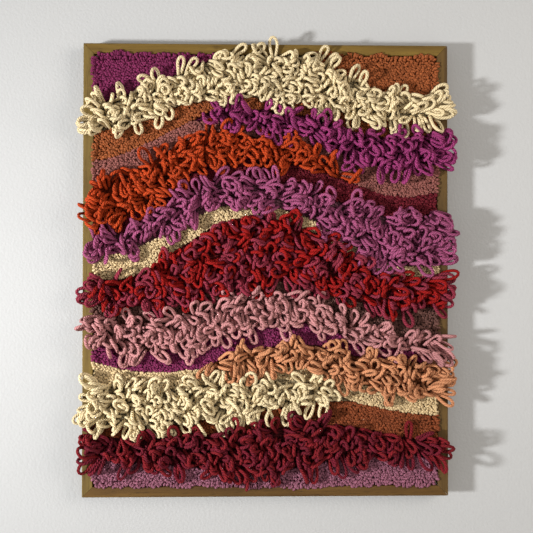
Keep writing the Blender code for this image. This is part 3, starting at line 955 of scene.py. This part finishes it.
def add_cloth(pile):
    """The foundation cloth as a thin closed sheet, in cells that follow the bands and take their colour."""
    column_count = round(2 * PILE_HALF_WIDTH / SHEET_COLUMN)
    inner = np.linspace(-PILE_HALF_WIDTH, PILE_HALF_WIDTH, column_count + 1)
    xs = np.concatenate([[CLOTH_LOW.x], inner, [CLOTH_HIGH.x]])
    heights, numbers, edges = sheet_rows(xs)
    colours = [linear(YARNS[band.colour].short) for band in BANDS]

    body = bmesh.new()
    stitches = body.loops.layers.uv.new("stitches")
    yarn = body.faces.layers.float_color.new("yarn")
    punched = body.faces.layers.float.new("punched")
    grids = []
    for y in (CLOTH_LOW.y, CLOTH_HIGH.y):
        grids.append([[body.verts.new((x, y, z)) for z in heights[:, i]] for i, x in enumerate(xs)])
    for grid in grids:
        for i in range(len(xs) - 1):
            for j, k in enumerate(numbers):
                face = body.faces.new((grid[i][j], grid[i + 1][j], grid[i + 1][j + 1], grid[i][j + 1]))
                outside = k < 0 or i in (0, len(xs) - 2)
                face[punched] = 0.0 if outside else 1.0
                face[yarn] = (1.0, 1.0, 1.0, 1.0) if outside else (*colours[k], 1.0)
                for loop in face.loops:
                    column = i if loop.vert in (grid[i][j], grid[i][j + 1]) else i + 1
                    start = CLOTH_LOW.z if k < 0 else edges[k, column]
                    loop[stitches].uv = (loop.vert.co.x, loop.vert.co.z - start)
    front, back = grids
    last = len(xs) - 1
    rim = [(i, 0) for i in range(last)] + [(last, j) for j in range(len(numbers))]
    rim += [(i, len(numbers)) for i in range(last, 0, -1)] + [(0, j) for j in range(len(numbers), 0, -1)]
    for (a, b), (c, d) in zip(rim, rim[1:] + rim[:1]):
        body.faces.new((front[a][b], front[c][d], back[c][d], back[a][b]))
    bmesh.ops.remove_doubles(body, verts=body.verts, dist=SHEET_JOIN)
    bmesh.ops.recalc_face_normals(body, faces=body.faces)
    mesh = bpy.data.meshes.new("foundation_sheet")
    body.to_mesh(mesh)
    body.free()
    sheet = add_piece("foundation_sheet", mesh, [cloth_material()], "canvas", "foundation_cloth")
    return sheet


def finish_rails():
    """The rails keep their solids and get oak whose grain runs along each."""
    # The bottom and right rails get darker tones than the top and left ones: painted shade
    for name, along, light, dark in RAIL_TONES_AND_PAINTED_SHADE:
        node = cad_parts[name]
        node.data.materials.clear()
        node.data.materials.append(oak_material("oak_" + name, along, light, dark))


# The surroundings
def rectangle(left, low, right, high):
    return [(left, low), (right, low), (right, high), (left, high)]


def add_surface(name, vertices, faces, paint):
    mesh = bpy.data.meshes.new(name)
    mesh.from_pydata(vertices, [], faces)
    mesh.materials.append(paint)
    obj = bpy.data.objects.new(name, mesh)
    bpy.context.scene.collection.objects.link(obj)
    return obj


def add_wall():
    """A pale wall behind the piece, cut out where the frame covers it so that the back can be seen."""
    outer = rectangle(-WALL_REACH, FLOOR_Z, WALL_REACH, WALL_REACH)
    left, right = FRAME_LOW.x + HOLE_INSET, FRAME_HIGH.x - HOLE_INSET
    low, high = FRAME_LOW.z + HOLE_INSET, FRAME_HIGH.z - HOLE_INSET
    vertices = [(x, WALL_Y, z) for x, z in outer + rectangle(left, low, right, high)]
    faces = [(i, (i + 1) % 4, (i + 1) % 4 + 4, i + 4) for i in range(4)]
    wall = add_surface("wall", vertices, faces, paint_material("wall_paint", WALL_COLOUR, WALL_RELIEF))


def add_floor():
    corners = rectangle(-WALL_REACH, -WALL_REACH, WALL_REACH, WALL_REACH)
    vertices = [(x, y, FLOOR_Z) for x, y in corners]
    paint = paint_material("floor_paint", FLOOR_COLOUR, FLOOR_RELIEF)
    floor = add_surface("floor", vertices, [(0, 1, 2, 3)], paint)


def add_lights():
    for row in LIGHTS:
        light = bpy.data.lights.new(row.name, "AREA")
        light.spread = math.radians(row.spread)
        light.shape = "DISK"
        light.size = row.size
        light.energy = row.power
        light.color = row.colour
        obj = bpy.data.objects.new(row.name, light)
        obj.location = row.place
        obj.rotation_euler = (Vector(row.target) - Vector(row.place)).to_track_quat("-Z", "Y").to_euler()
        bpy.context.scene.collection.objects.link(obj)
    world = bpy.data.worlds.new("room")
    world.use_nodes = True
    background = world.node_tree.nodes["Background"]
    background.inputs["Color"].default_value = ROOM_COLOUR
    background.inputs["Strength"].default_value = ROOM_STRENGTH
    bpy.context.scene.world = world


def add_camera():
    data = bpy.data.cameras.new("camera")
    data.angle = math.radians(CAMERA_FIELD)
    camera = bpy.data.objects.new("camera", data)
    turn = Matrix.Rotation(math.radians(CAMERA_YAW), 4, "Z")
    turn @= Matrix.Rotation(math.radians(CAMERA_PITCH), 4, "X")
    turn @= Matrix.Rotation(math.radians(CAMERA_ROLL), 4, "Y")
    turn @= Matrix.Rotation(math.pi / 2, 4, "X")
    camera.matrix_world = Matrix.Translation(CAMERA_PLACE) @ turn
    bpy.context.scene.collection.objects.link(camera)
    bpy.context.scene.camera = camera


add_camera()
finish_rails()
add_cloth(add_shag() + add_ground())
add_wall()
add_floor()
add_lights()
bpy.context.scene.view_settings.view_transform = "Standard"
